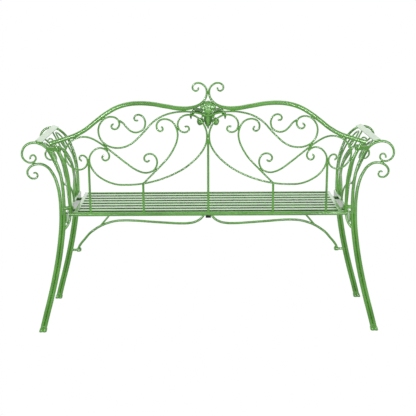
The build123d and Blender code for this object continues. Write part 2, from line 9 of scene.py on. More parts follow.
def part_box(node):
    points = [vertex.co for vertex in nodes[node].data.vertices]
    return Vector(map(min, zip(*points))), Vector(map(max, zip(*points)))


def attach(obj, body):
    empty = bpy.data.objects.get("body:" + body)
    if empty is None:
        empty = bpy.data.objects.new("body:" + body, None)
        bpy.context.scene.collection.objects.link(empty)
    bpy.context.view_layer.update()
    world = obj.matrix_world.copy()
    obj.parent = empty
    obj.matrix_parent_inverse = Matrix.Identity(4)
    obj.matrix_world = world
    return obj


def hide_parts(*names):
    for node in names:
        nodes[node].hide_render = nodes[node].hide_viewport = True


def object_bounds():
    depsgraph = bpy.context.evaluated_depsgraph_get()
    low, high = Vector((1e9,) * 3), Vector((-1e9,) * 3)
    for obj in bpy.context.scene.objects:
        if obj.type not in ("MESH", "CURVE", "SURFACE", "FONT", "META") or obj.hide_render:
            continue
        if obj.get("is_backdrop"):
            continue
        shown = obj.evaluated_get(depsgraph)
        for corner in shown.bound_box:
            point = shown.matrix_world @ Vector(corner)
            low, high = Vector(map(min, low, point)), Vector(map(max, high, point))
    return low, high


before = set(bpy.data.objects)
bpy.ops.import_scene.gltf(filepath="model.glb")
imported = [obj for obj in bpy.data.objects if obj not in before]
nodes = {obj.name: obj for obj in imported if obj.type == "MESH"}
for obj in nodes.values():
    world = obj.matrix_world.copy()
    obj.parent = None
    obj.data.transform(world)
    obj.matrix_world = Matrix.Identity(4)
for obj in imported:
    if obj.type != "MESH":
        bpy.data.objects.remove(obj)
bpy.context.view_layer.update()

MM = 0.001


# ---- materials ----------------------------------------------------------------------------------------
def new_material(name, base, roughness):
    material = bpy.data.materials.new(name)
    material.use_nodes = True
    shader = material.node_tree.nodes["Principled BSDF"]
    shader.inputs["Base Color"].default_value = (*base, 1)
    shader.inputs["Roughness"].default_value = roughness
    return material, shader


def add(material, kind, **settings):
    node = material.node_tree.nodes.new(kind)
    for key, value in settings.items():
        setattr(node, key, value)
    return node


def join(material, source, target):
    material.node_tree.links.new(source, target)


def noise_field(material, place, scale, detail, roughness=0.5):
    texture = add(material, "ShaderNodeTexNoise")
    texture.inputs["Scale"].default_value = scale
    texture.inputs["Detail"].default_value = detail
    texture.inputs["Roughness"].default_value = roughness
    join(material, place, texture.inputs["Vector"])
    return texture.outputs["Fac"]


def ramp(material, value, stops):
    """Colour ramp through (position, colour) stops."""
    node = add(material, "ShaderNodeValToRGB")
    elements = node.color_ramp.elements
    while len(elements) < len(stops):
        elements.new(0.5)
    for element, (position, colour) in zip(elements, stops):
        element.position = position
        element.color = (*colour, 1)
    join(material, value, node.inputs["Fac"])
    return node.outputs["Color"]


def grey_range(material, value, low, high, start=0.3, end=0.7):
    node = add(material, "ShaderNodeMapRange")
    for name, number in (("From Min", start), ("From Max", end), ("To Min", low), ("To Max", high)):
        node.inputs[name].default_value = number
    join(material, value, node.inputs["Value"])
    return node.outputs["Result"]


def mixed(material, share, first, second):
    node = add(material, "ShaderNodeMix", data_type="RGBA")
    join(material, share, node.inputs["Factor"])
    join(material, first, node.inputs["A"])
    join(material, second, node.inputs["B"])
    return node.outputs["Result"]


def bumped(material, shader, layers):
    """Chain of bump nodes, one for each (height field, strength, depth)."""
    normal = None
    for height, strength, depth in layers:
        node = add(material, "ShaderNodeBump")
        node.inputs["Strength"].default_value = strength
        node.inputs["Distance"].default_value = depth
        join(material, height, node.inputs["Height"])
        if normal is not None:
            join(material, normal, node.inputs["Normal"])
        normal = node.outputs["Normal"]
    join(material, normal, shader.inputs["Normal"])


# Scales of the paint's patterns, in repeats for each metre, and how deep the two that are felt go.
CLOUD_SCALE = 9
SPECKLE_SCALE = 420
PEEL_SCALE = 260
DRIP_SCALE = 38
PEEL_DEPTH = 0.3 * MM
DRIP_DEPTH = 0.6 * MM
PEEL_STRENGTH = 0.03
DRIP_STRENGTH = 0.02
COAT_WEIGHT = 0.6
COAT_ROUGHNESS = 0.18
ROD_GLOSS = (0.20, 0.30)     # least and greatest roughness of the paint on smooth rods
SCREW_GLOSS = (0.24, 0.34)
ROUGH_GLOSS = (0.36, 0.52)    # on the bloom and over welds
CAST_GLOSS = (0.34, 0.50)
LEAF_GLOSS = (0.40, 0.55)


def green_paint(name, light, mid, dark, gloss=ROD_GLOSS):
    """Thick sprayed paint: soft orange peel, faint cloudiness, dark specks, gloss that varies."""
    material, shader = new_material(name, mid, gloss[1])
    place = add(material, "ShaderNodeTexCoord").outputs["Object"]
    cloud = noise_field(material, place, CLOUD_SCALE, 4)
    speckle = noise_field(material, place, SPECKLE_SCALE, 3, 0.6)
    peel = noise_field(material, place, PEEL_SCALE, 2)
    drip = noise_field(material, place, DRIP_SCALE, 5, 0.55)
    tone = ramp(material, cloud, [(0.30, dark), (0.50, mid), (0.72, light)])
    fleck = ramp(material, speckle, [(0.34, dark), (0.44, mid), (0.80, mid)])
    share = grey_range(material, speckle, 0.30, 0.0, 0.30, 0.46)
    join(material, mixed(material, share, tone, fleck), shader.inputs["Base Color"])
    join(material, grey_range(material, drip, gloss[0], gloss[1]), shader.inputs["Roughness"])
    shader.inputs["Coat Weight"].default_value = COAT_WEIGHT
    shader.inputs["Coat Roughness"].default_value = COAT_ROUGHNESS
    bumped(material, shader, [(peel, PEEL_STRENGTH, PEEL_DEPTH), (drip, DRIP_STRENGTH, DRIP_DEPTH)])
    return material


GRAIN_SCALE = 700
GRAIN_DEPTH = 0.4 * MM
GRAIN_STRENGTH = 0.35
WEAR_SCALE = 60
BLACK = (0.006, 0.006, 0.007)
WORN_BLACK = (0.014, 0.014, 0.015)
PLASTIC_SHINE = 0.15


def black_plastic():
    """Matt moulded plastic with a fine grain, greyer where it is worn."""
    material, shader = new_material("moulded black plastic", BLACK, 0.5)
    shader.inputs["Specular IOR Level"].default_value = PLASTIC_SHINE
    place = add(material, "ShaderNodeTexCoord").outputs["Object"]
    grain = noise_field(material, place, GRAIN_SCALE, 3)
    wear = noise_field(material, place, WEAR_SCALE, 4)
    colour = ramp(material, wear, [(0.3, BLACK), (0.7, WORN_BLACK)])
    join(material, colour, shader.inputs["Base Color"])
    join(material, grey_range(material, grain, 0.42, 0.62), shader.inputs["Roughness"])
    bumped(material, shader, [(grain, GRAIN_STRENGTH, GRAIN_DEPTH)])
    return material


# The paint's three tones; darker tones for the casting and the welds; the leaves' and the grooves' tones
# darkened as painted shade and the bloom's lightened as painted light.
LIGHT = (0.122, 0.345, 0.062)
MID = (0.100, 0.300, 0.047)
DARK = (0.068, 0.220, 0.030)
# The bloom's lightest tone, above the paint's own: painted light.
BLOOM_PAINTED_LIGHT = (0.160, 0.390, 0.105)
# Darkest tones of the casting's and the welds' paint, in random cloudy patches.
CAST_DARKEST = (0.030, 0.105, 0.018)
WELD_DARKEST = (0.040, 0.135, 0.022)
# Leaf tones darker than the paint's own: painted shade.
LEAF_SHADE_TONES = (0.062, 0.190, 0.034), (0.044, 0.142, 0.023), (0.020, 0.072, 0.011)
# Groove tones much darker than the paint's own: painted shade in the groove between the leg bars.
GROOVE_SHADE_TONES = (0.030, 0.095, 0.016), (0.022, 0.075, 0.013), (0.014, 0.050, 0.009)
paint = green_paint("green powder paint", LIGHT, MID, DARK)
paint_cast = green_paint("green paint on the casting", LIGHT, MID, CAST_DARKEST, CAST_GLOSS)
paint_leaf_shaded = green_paint("green paint on the leaves, darkened as painted shade", *LEAF_SHADE_TONES, LEAF_GLOSS)
paint_bloom_lit = green_paint("green paint on the bloom, lightened as painted light", BLOOM_PAINTED_LIGHT, LIGHT, DARK, ROUGH_GLOSS)
paint_seam_shaded = green_paint("green paint in the grooves, darkened as painted shade", *GROOVE_SHADE_TONES)
paint_weld = green_paint("green paint over welds", MID, DARK, WELD_DARKEST, ROUGH_GLOSS)
paint_screw = green_paint("green paint on the screws", LIGHT, MID, DARK, SCREW_GLOSS)
plastic = black_plastic()


def dress(obj, material):
    obj.data.materials.clear()
    obj.data.materials.append(material)


def smooth(obj, degrees=32):
    """Smooth shading with sharp edges where faces meet at more than this angle."""
    obj.data.shade_smooth()
    obj.data.set_sharp_from_angle(angle=math.radians(degrees))


# ---- carried-over nodes -------------------------------------------------------------------------------
REPLACED = {
    "rose_bloom", "rose_leaves", "rose_buds", "back_screws", "seat_screws", "brace_screws", "foot_caps",
}
for name, obj in nodes.items():
    if name in REPLACED:
        continue
    smooth(obj)
    if name == "support_plugs":
        dress(obj, plastic)
    elif name == "back_washers":
        dress(obj, paint_screw)
    else:
        dress(obj, paint)


# ---- mesh helpers -------------------------------------------------------------------------------------
def new_object(name, mesh):
    obj = bpy.data.objects.new(name, mesh)
    bpy.context.scene.collection.objects.link(obj)
    return obj


def from_bmesh(name, bm, material, degrees=40):
    bmesh.ops.recalc_face_normals(bm, faces=bm.faces)
    mesh = bpy.data.meshes.new(name)
    bm.to_mesh(mesh)
    bm.free()
    obj = new_object(name, mesh)
    smooth(obj, degrees)
    dress(obj, material)
    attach(obj, "root")
    return obj


def join_rings(bm, low, high):
    """Band of faces between two rings with the same number of vertices."""
    for k in range(len(low)):
        following = (k + 1) % len(low)
        bm.faces.new([low[k], low[following], high[following], high[k]])


def close_rings(bm, rings):
    """Skin over a stack of rings, with a flat face at each end."""
    for low, high in zip(rings, rings[1:]):
        join_rings(bm, low, high)
    bm.faces.new(rings[0][::-1])
    bm.faces.new(rings[-1])


SAME_POINT = 0.001 * MM


def islands(obj):
    """Vertex positions of each separate solid of a node."""
    bm = bmesh.new()
    bm.from_mesh(obj.data)
    bmesh.ops.remove_doubles(bm, verts=bm.verts, dist=SAME_POINT)
    seen, found = set(), []
    for start in bm.verts:
        if start.index in seen:
            continue
        stack, group = [start], []
        seen.add(start.index)
        while stack:
            vert = stack.pop()
            group.append(vert.co.copy())
            for edge in vert.link_edges:
                other = edge.other_vert(vert)
                if other.index not in seen:
                    seen.add(other.index)
                    stack.append(other)
        found.append(group)
    bm.free()
    return found


# ---- screws with a hexagon socket -------------------------------------------------------------------------
SHANK_R = 3 * MM
SHANK_CHAMFER = 0.4 * MM
SOCKET_SIZE = 0.46           # share of the head's radius
SOCKET_DEPTH = 0.52          # share of the head's height
HEXAGON_SIDES = 6
POINTS_PER_SIDE = 8
# The domed head from beside the socket out to its rim: share of the radius at each ring.
DOME_SHARES = (0.55, 0.66, 0.76, 0.85, 0.92, 0.97, 1.0)
DOME_POWER = 2.6
DOME_HEIGHT = 0.62           # share of the head's height
END_SLICE = 0.2 * MM         # vertices this near to the end of a screw belong to its end ring
AXIS_ROUNDS = 6


def hexagon(k, radius):
    """Point k of a hexagon's outline; radius is that of its corners."""
    side, along_side = divmod(k, POINTS_PER_SIDE)
    first = math.tau * side / HEXAGON_SIDES
    second = math.tau * (side + 1) / HEXAGON_SIDES
    corner = Vector((math.cos(first), math.sin(first), 0)) * radius
    next_corner = Vector((math.cos(second), math.sin(second), 0)) * radius
    return corner.lerp(next_corner, along_side / POINTS_PER_SIDE)


def circle(k, radius):
    """Point k of the circle that has as many points as the hexagon."""
    turn = math.tau * k / (HEXAGON_SIDES * POINTS_PER_SIDE)
    return Vector((math.cos(turn), math.sin(turn), 0)) * radius


def socket_screw(bm, top, axis, head_r, head_h, length):
    """Domed head with a hexagon socket; top is the crown's middle and axis points down the shank."""
    place = Matrix.Translation(top) @ (-axis).to_track_quat("Z", "Y").to_matrix().to_4x4()
    count = HEXAGON_SIDES * POINTS_PER_SIDE
    socket_r = head_r * SOCKET_SIZE
    depth = head_h * SOCKET_DEPTH
    # Outline from the bottom of the socket, over the dome and down the shank: shape, radius, height.
    outline = [
        (hexagon, socket_r * 0.96, -depth),
        (hexagon, socket_r, -depth * 0.9),
        (hexagon, socket_r, -head_h * 0.10),
        (hexagon, socket_r * 1.07, -head_h * 0.045),
        (circle, socket_r * 1.30, -head_h * 0.035),
    ]
    for share in DOME_SHARES:
        fall = 1 - math.sqrt(max(0, 1 - share**DOME_POWER))
        outline.append((circle, head_r * share, -head_h * fall * DOME_HEIGHT))
    outline += [
        (circle, head_r, -head_h * 0.86),
        (circle, head_r * 0.975, -head_h * 0.97),
        (circle, head_r * 0.95, -head_h),
        (circle, SHANK_R, -head_h),
        (circle, SHANK_R, -length + SHANK_CHAMFER),
        (circle, SHANK_R * 0.85, -length),
    ]
    bottom = bm.verts.new(place @ Vector((0, 0, -depth * 1.15)))
    rings = []
    for shape, radius, height in outline:
        lift = Vector((0, 0, height))
        rings.append([bm.verts.new(place @ (shape(k, radius) + lift)) for k in range(count)])
    end = bm.verts.new(place @ Vector((0, 0, -length)))
    for low, high in zip(rings, rings[1:]):
        join_rings(bm, low, high)
    for k in range(count):
        following = (k + 1) % count
        bm.faces.new([bottom, rings[0][following], rings[0][k]])
        bm.faces.new([end, rings[-1][k], rings[-1][following]])


def screw_axis(points):
    """Middles of a screw's two end rings and the direction from the first to the second."""
    centre = sum(points, Vector()) / len(points)
    far = max(points, key=lambda p: (p - centre).length_squared)
    opposite = max(points, key=lambda p: (p - far).length_squared)
    axis = (opposite - far).normalized()
    for _ in range(AXIS_ROUNDS):
        low = min(p.dot(axis) for p in points)
        high = max(p.dot(axis) for p in points)
        first = [p for p in points if p.dot(axis) < low + END_SLICE]
        last = [p for p in points if p.dot(axis) > high - END_SLICE]
        middle_low = sum(first, Vector()) / len(first)
        middle_high = sum(last, Vector()) / len(last)
        axis = (middle_high - middle_low).normalized()
    return middle_low, middle_high, axis


def rebuilt_screws(node):
    """Each screw of the node again, with its socket."""
    bm = bmesh.new()
    for points in islands(nodes[node]):
        crown, tip, axis = screw_axis(points)
        length = (tip - crown).length

        def reach(p):
            step = p - crown
            return (step - axis * step.dot(axis)).length

        widest = max(points, key=reach)
        head_r = reach(widest)
        if (widest - crown).dot(axis) > length / 2:
            axis = -axis
            crown = tip
        head = [p for p in points if reach(p) > head_r * 0.98]
        head_h = max((p - crown).dot(axis) for p in head)
        socket_screw(bm, crown, axis, head_r, head_h, length)
    piece = from_bmesh(node + "_socket_head", bm, paint_screw)
    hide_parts(node)


for node in ("back_screws", "seat_screws", "brace_screws"):
    rebuilt_screws(node)


# ---- shaped pieces -------------------------------------------------------------------------------------
RIM_SHARES = (0.45, 0.85, 1.0)   # a plate's thickness at its rim, one row in, and beyond


def shell(bm, grid, thick):
    """Closed plate of this thickness on a grid of points; the grid's own side is the back."""
    rows, columns = len(grid), len(grid[0])

    def normal(i, j):
        along = grid[min(i + 1, rows - 1)][j] - grid[max(i - 1, 0)][j]
        across = grid[i][min(j + 1, columns - 1)] - grid[i][max(j - 1, 0)]
        return along.cross(across).normalized()

    back = [[bm.verts.new(grid[i][j]) for j in range(columns)] for i in range(rows)]
    front = []
    for i in range(rows):
        front.append([])
        for j in range(columns):
            rim = min(i, rows - 1 - i, j, columns - 1 - j)
            depth = thick * RIM_SHARES[min(rim, 2)]
            front[i].append(bm.verts.new(grid[i][j] + normal(i, j) * depth))
    for i in range(rows - 1):
        for j in range(columns - 1):
            bm.faces.new([back[i][j], back[i][j + 1], back[i + 1][j + 1], back[i + 1][j]])
            bm.faces.new([front[i][j], front[i + 1][j], front[i + 1][j + 1], front[i][j + 1]])
    edge = [(0, j) for j in range(columns)] + [(i, columns - 1) for i in range(1, rows)]
    edge += [(rows - 1, j) for j in range(columns - 2, -1, -1)] + [(i, 0) for i in range(rows - 2, 0, -1)]
    for (a, b), (c, d) in zip(edge, edge[1:] + edge[:1]):
        bm.faces.new([back[a][b], front[a][b], front[c][d], back[c][d]])


def tube(bm, points, radii, segments=16):
    """Round bar through the points, which are already close together, with closed ends."""
    side = Vector((0, 0, 1))
    rings = []
    for k, (point, radius) in enumerate(zip(points, radii)):
        along = (points[min(k + 1, len(points) - 1)] - points[max(k - 1, 0)]).normalized()
        side = (side - along * side.dot(along)).normalized()
        other = along.cross(side)
        ring = []
        for n in range(segments):
            turn = 2 * math.pi * n / segments
            ring.append(bm.verts.new(point + (side * math.cos(turn) + other * math.sin(turn)) * radius))
        rings.append(ring)
    close_rings(bm, rings)


def curve_through(points, per_span=10):
    """Catmull-Rom curve."""
    ends = [points[0] * 2 - points[1], *points, points[-1] * 2 - points[-2]]
    found = []
    for a, b, c, d in zip(ends, ends[1:], ends[2:], ends[3:]):
        for k in range(per_span):
            t = k / per_span
            found.append(0.5 * (2 * b + (c - a) * t + (2 * a - 5 * b + 4 * c - d) * t**2
                                + (3 * b - a - 3 * c + d) * t**3))
    found.append(points[-1])
    return found


# ---- foot caps --------------------------------------------------------------------------------------------
CAP_LOBE_R = 7.9 * MM        # each bar of the pair stands in its own lobe of the cap
CAP_LOBE_OFFSET = 6.35 * MM
CAP_WAIST = 2 * MM           # least half width where the two lobes meet
CAP_COLUMNS = 64
END_RING = 0.5 * MM          # vertices this near to the ground or the lip belong to the cap's ends
# Height and how far the outline is drawn in, from the ground up to the lip, in millimetres.
CAP_RINGS = [
    (0.0, 2.2), (0.25, 1.3), (0.8, 0.6), (1.7, 0.15), (3.0, 0.0), (8.6, 0.0), (9.2, 0.35), (9.6, 0.9),
    (10.2, 1.0), (10.7, 0.6), (11.1, 0.1), (11.8, -0.1), (12.8, -0.1), (13.5, 0.3), (13.9, 1.0), (14.0, 1.8),
]


def foot_cap(bm, points):
    """Cap with two lobes, leaning as its pair of bars does."""
    top = max(p.z for p in points)
    floor_points = [p for p in points if p.z < END_RING]
    top_points = [p for p in points if p.z > top - END_RING]
    foot = sum(floor_points, Vector()) / len(floor_points)
    top_x = (min(p.x for p in top_points) + max(p.x for p in top_points)) / 2
    rings = []
    for height, inset in CAP_RINGS:
        radius = CAP_LOBE_R - inset * MM
        x = foot.x + (top_x - foot.x) * height * MM / top
        ring = []
        for j in range(CAP_COLUMNS):
            turn = 2 * math.pi * j / CAP_COLUMNS
            rise = CAP_LOBE_OFFSET * math.sin(turn)
            reach = CAP_LOBE_OFFSET * abs(math.cos(turn)) + math.sqrt(max(radius**2 - rise**2, CAP_WAIST**2))
            place = (x + reach * math.cos(turn), foot.y + reach * math.sin(turn), height * MM)
            ring.append(bm.verts.new(place))
        rings.append(ring)
    close_rings(bm, rings)


bm = bmesh.new()
for points in islands(nodes["foot_caps"]):
    foot_cap(bm, points)
caps = from_bmesh("foot_caps_lobed", bm, paint_screw, 50)
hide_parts("foot_caps")

# ---- cast rose in the middle of the back ------------------------------------------------------------------
BACK_RECLINE = math.radians(6)
UP_PANEL = Vector((0, math.sin(BACK_RECLINE), math.cos(BACK_RECLINE)))
OUT_OF_PANEL = Vector((0, -math.cos(BACK_RECLINE), math.sin(BACK_RECLINE)))
ROSE_SEAT = 8.0 * MM         # the bloom's base is this far in front of the rods' middle plane
PETAL_THICK = 1.7 * MM
PETAL_ROWS = 16
PETAL_COLUMNS = 21
# Rings of petals from the outside in. Angles are in degrees and lengths in millimetres:
# count, first angle, half width, inner and outer radius, height of the base, lift, curl of the lip.
PETAL_RINGS = (
    (6, 18, 40, 2.5, 30.0, 8.6, 8.0, 4.5),
    (5, 54, 44, 2.0, 25.0, 10.2, 12.0, 3.8),
    (4, 20, 50, 1.5, 18.0, 12.0, 15.5, 3.0),
    (3, 65, 62, 1.0, 11.5, 13.5, 18.0, 2.0),
    (2, 0, 80, 0.6, 6.0, 15.0, 18.5, 0.8),
)
# Turned boss behind the petals: distance out of the panel and radius, in millimetres.
BOSS = ((3.4, 9.0), (4.0, 10.2), (6.0, 11.5), (8.4, 13.5), (10.5, 12.0), (13.0, 6.0))
SEPAL_COUNT = 5
SEPAL_FIRST = 50             # degrees
SEPAL_THICK = 1.2 * MM
SEPAL_WIDTH = 4.6            # these four in millimetres
SEPAL_START = 7
SEPAL_LENGTH = 19
SEPAL_HEIGHT = 7.4
SEPAL_ROWS = 14
SEPAL_COLUMNS = 7
LEAF_THICK = 1.6 * MM
LEAF_COLUMNS = 17
SIDE_LEAF_WIDTH = 8.6        # half widths of the leaves, and how far their edges curl, in millimetres
SIDE_LEAF_CURL = 1.8
MIDDLE_LEAF_WIDTH = 8.6
MIDDLE_LEAF_CURL = 2.8
FOLDED_LEAF_WIDTH = 4.6
FOLDED_LEAF_CURL = 2.2
BUD_R = 13.2                 # millimetres
BUD_PLACE = (27, -42, 14.8)
BUD_LEAN = (0.35, -0.93, 0.1)
BUD_ROWS = 26
BUD_COLUMNS = 48
CUP_LEAVES = 4
CUP_LEAF_THICK = 0.9 * MM
CUP_ROWS = 10
CUP_COLUMNS = 5

bloom_points = [v.co for v in nodes["rose_bloom"].data.vertices]
bloom_heights = [p.dot(UP_PANEL) for p in bloom_points]
bloom_base = min(p.dot(OUT_OF_PANEL) for p in bloom_points)
bloom_height = (min(bloom_heights) + max(bloom_heights)) / 2
rose_middle = UP_PANEL * bloom_height + OUT_OF_PANEL * (bloom_base - ROSE_SEAT)


def on_panel(x, up, out):
    """A point in millimetres: across, up the panel from the bloom's middle, out from the rods' middle."""
    return rose_middle + (Vector((1, 0, 0)) * x + UP_PANEL * up + OUT_OF_PANEL * out) * MM


def ridge(u, width):
    """Bell curve across a petal or leaf: 1 on its middle line."""
    return math.exp(-(u / width)**2)


def petal(bm, turn, half_width, inner, outer, base, lift, curl, phase):
    """Cupped petal about the bloom's axis: angles in degrees, lengths in millimetres."""
    grid = []
    for i in range(PETAL_ROWS):
        v = i / (PETAL_ROWS - 1)
        lip = max(0, (v - 0.7) / 0.3)
        row = []
        for j in range(PETAL_COLUMNS):
            u = 2 * j / (PETAL_COLUMNS - 1) - 1
            angle = math.radians(turn + half_width * u * (0.35 + 0.65 * v**0.6))
            outline = 1 - 0.20 * abs(u)**3 - 0.05 * ridge(u, 0.22) + 0.02 * math.sin(7 * u + phase)
            r = inner + (outer * outline - inner) * math.sin(v * math.pi / 2)
            r += curl * 0.35 * lip
            out = base + lift * v**1.7 * (1 - 0.2 * u * u)
            out += 0.9 * math.sin(4.5 * u + phase) * v**3
            out -= curl * lip * lip
            out -= 0.7 * ridge(u, 0.12) * v * (1 - lip)
            row.append(on_panel(r * math.cos(angle), r * math.sin(angle), out))
        grid.append(row)
    shell(bm, grid, PETAL_THICK)


def sepal(bm, angle):
    """Pointed sepal that lies back against the outer petals."""
    grid = []
    for i in range(SEPAL_ROWS):
        v = i / (SEPAL_ROWS - 1)
        half = SEPAL_WIDTH * math.sin(math.pi * min(1, 0.18 + 0.82 * v))**0.8 * (1 - 0.25 * v) + 0.25
        r = SEPAL_START + SEPAL_LENGTH * v
        out = SEPAL_HEIGHT - 1.4 * v + 2.6 * v * v
        row = []
        for j in range(SEPAL_COLUMNS):
            u = 2 * j / (SEPAL_COLUMNS - 1) - 1
            x = r * math.cos(angle) - math.sin(angle) * half * u
            y = r * math.sin(angle) + math.cos(angle) * half * u
            row.append(on_panel(x, y, out - 0.9 * (1 - abs(u))))
        grid.append(row)
    shell(bm, grid, SEPAL_THICK)


bm = bmesh.new()
for count, first, half_width, inner, outer, base, lift, curl in PETAL_RINGS:
    for number in range(count):
        turn = first + 360 * number / count + 6 * math.sin(3.1 * number + first)
        stretch = 1 + 0.06 * math.sin(2.3 * number + outer)
        petal(bm, turn, half_width, inner, outer * stretch, base, lift, curl, number * 1.7 + outer)
tube(bm, [on_panel(0, 0, out) for out, radius in BOSS], [radius * MM for out, radius in BOSS], 32)
for number in range(SEPAL_COUNT):
    sepal(bm, math.radians(SEPAL_FIRST + 360 / SEPAL_COUNT * number))
# The bloom gets the lightened paint: painted light.
bloom = from_bmesh("rose_bloom_casting", bm, paint_bloom_lit, 55)
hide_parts("rose_bloom")


def leaf(bm, path, width, side, curl):
    """Leaf along a curved midrib on the panel: path in (across, up, out), veins and waved edges."""
    rib = curve_through([Vector(point) for point in path], 12)
    grid = []
    for i, point in enumerate(rib):
        t = i / (len(rib) - 1)
        along = rib[min(i + 1, len(rib) - 1)] - rib[max(i - 1, 0)]
        across = Vector((-along.y, along.x, 0)).normalized() * side
        half = width * (0.16 + math.sin(math.pi * min(1, t**0.75))**0.8) * (1 - 0.15 * t)
        half = max(half, 0.4) if t < 1 else 0.4
        row = []
        for j in range(LEAF_COLUMNS):
            u = 2 * j / (LEAF_COLUMNS - 1) - 1
            wave = 0.06 * math.sin(22 * t + 2 * u) * abs(u)**3
            vein = 0.30 * math.cos(2 * math.pi * (7 * t - 1.1 * abs(u))) * min(1, abs(u) * 4) * (1 - t * t)
            dish = curl * u * u - 0.9 * ridge(u, 0.16)
            place = point + across * half * u * (1 + wave) + Vector((0, 0, dish + vein))
            row.append(on_panel(*place))
        grid.append(row)
    shell(bm, grid, LEAF_THICK * side)


# The side leaves arch outward and curl down; two folded leaves hang on either side of the middle one.
bm = bmesh.new()
for side in (1, -1):
    path = [
        (side * 2, -19, 5.0), (side * 14, -13, 6.2), (side * 27, -3.5, 6.8), (side * 41, 0, 6.8),
        (side * 53, -7, 6.2), (side * 60, -18, 5.4), (side * 60, -31, 4.6),
    ]
    leaf(bm, path, SIDE_LEAF_WIDTH, side, SIDE_LEAF_CURL)
for side in (1, -1):
    path = [(side * 7, -17, 6.6), (side * 9.5, -27, 7.0), (side * 9.5, -40, 6.2), (side * 6, -57, 4.8)]
    leaf(bm, path, FOLDED_LEAF_WIDTH, 1, FOLDED_LEAF_CURL)
# The side and folded leaves get the darkened paint: painted shade.
leaves = from_bmesh("rose_leaves_casting", bm, paint_leaf_shaded, 55)
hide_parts("rose_leaves")

bm = bmesh.new()
path = [(0, -14, 6.0), (0, -26, 7.6), (0, -45, 7.2), (0, -67, 4.6)]
leaf(bm, path, MIDDLE_LEAF_WIDTH, 1, MIDDLE_LEAF_CURL)
from_bmesh("rose_leaf_middle", bm, paint_cast, 55)


def cup_leaf(bm, middle, lean, out_dir):
    """One of the pointed leaves that hold a bud."""
    round_dir = lean.cross(out_dir)
    grid = []
    for i in range(CUP_ROWS):
        v = i / (CUP_ROWS - 1)
        height = -BUD_R * (0.98 - 1.05 * v)
        r = BUD_R * math.sin(math.pi * min(0.98, 0.06 + 0.5 * v)**0.85)**0.62 + 0.4 + 1.0 * v**3
        half = 3.4 * (1 - v)**0.6 + 0.3
        row = []
        for j in range(CUP_COLUMNS):
            u = 2 * j / (CUP_COLUMNS - 1) - 1
            row.append(on_panel(*(middle + lean * height + out_dir * r + round_dir * half * u)))
        grid.append(row)
    shell(bm, grid, CUP_LEAF_THICK)


def bud(bm, side):
    """Rosebud with wrapped petals, its cup and the stem up to the bloom."""
    x, up, out = BUD_PLACE
    middle = Vector((side * x, up, out))
    lean_x, lean_up, lean_out = BUD_LEAN
    lean = Vector((side * lean_x, lean_up, lean_out)).normalized()
    first = lean.cross(Vector((0, 0, 1))).normalized()
    second = lean.cross(first)
    rings = []
    for i in range(BUD_ROWS):
        v = (i + 0.5) / BUD_ROWS
        height = BUD_R * (2.05 * v - 0.95)
        body = BUD_R * math.sin(math.pi * v**0.85)**0.62
        ring = []
        for j in range(BUD_COLUMNS):
            turn = 2 * math.pi * j / BUD_COLUMNS
            fold = abs(math.sin(1.5 * (turn + side * 2.4 * v)))
            r = body * (1 - 0.17 * (1 - fold)**4 + 0.03 * math.sin(2 * turn + 5 * v))
            place = middle + lean * height + (first * math.cos(turn) + second * math.sin(turn)) * r
            ring.append(bm.verts.new(on_panel(*place)))
        rings.append(ring)
    close_rings(bm, rings)
    start = middle - lean * BUD_R * 0.8
    stem = curve_through([start, start + Vector((-side * 4, 10, -1)), Vector((side * 12, -14, 11.5))], 8)
    radii = [(2.4 + 2.8 * math.exp(-k / 2.5)) * MM for k in range(len(stem))]
    tube(bm, [on_panel(*point) for point in stem], radii)
    for number in range(CUP_LEAVES):
        angle = 2 * math.pi * number / CUP_LEAVES + 0.5
        cup_leaf(bm, middle, lean, first * math.cos(angle) + second * math.sin(angle))


bm = bmesh.new()
for side in (1, -1):
    bud(bm, side)
buds = from_bmesh("rose_buds_casting", bm, paint_cast, 55)
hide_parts("rose_buds")


# ---- welds ------------------------------------------------------------------------------------------------
DIRECTION_ROUNDS = 24
BEAD_ROWS = 22
BEAD_COLUMNS = 14
NEAR_WELD = 16 * MM          # length of rod either side of a weld that gives its direction
FEWEST_POINTS = 8
TOUCH = 0.5 * MM
FLAT = 0.01 * MM             # a rod less than this to one side of a weld gives it no direction
ROD_END = 60 * MM            # length of rod that gives the direction at its end
FEWEST_CONTACTS = 6
RING_COLUMNS = 40
RING_TURNS = 10
RING_BEAD_R = 1.25           # millimetres, with the swell of its passes
RING_BEAD_SWELL = 0.25
SEAM_START = 12 * MM         # above the foot, inside the cap
SEAM_END = 445 * MM          # the bars part at the seat
SEAM_GAP = 1.1 * MM
SEAM_SPACING = 13 * MM
SEAM_R = 0.95                # millimetres
SCROLL_ZONE = 600 * MM       # the scrolls of a leg meet above this
# Beads between rods: greatest gap, spacing, then half length, half width and half depth.
ROD_WELD = (1.6 * MM, 40 * MM, 8.5 * MM, 2.3 * MM, 2.9 * MM)
LEG_WELD = (2.8 * MM, 60 * MM, 7.0 * MM, 2.6 * MM, 3.0 * MM)
MIDDLE_WELD = (2.2 * MM, 60 * MM, 6.0 * MM, 2.4 * MM, 2.8 * MM)
# Radius of the weld round the end of a rod.
BAR_WELD_R = 4.2 * MM
POST_WELD_R = 6.2 * MM
THIN_WELD_R = 3.4 * MM
PANEL_RODS = (
    "top_rail", "arch_scroll", "small_scroll", "inner_scroll", "heart_scroll", "outer_s_scroll", "back_post",
)


def vertices(node):
    return [v.co.copy() for v in nodes[node].data.vertices]


trees = {}


def tree(node):
    """Search tree over a node's faces, built once."""
    if node not in trees:
        bm = bmesh.new()
        bm.from_mesh(nodes[node].data)
        trees[node] = BVHTree.FromBMesh(bm)
        bm.free()
    return trees[node]


def mean(points):
    return sum(points, Vector()) / len(points)


def main_direction(points, centre):
    """Direction in which a cloud of points is longest."""
    direction = Vector((0.31, 0.53, 0.79))
    for _ in range(DIRECTION_ROUNDS):
        total = Vector()
        for point in points:
            step = point - centre
            total += step * step.dot(direction)
        direction = total.normalized()
    return direction


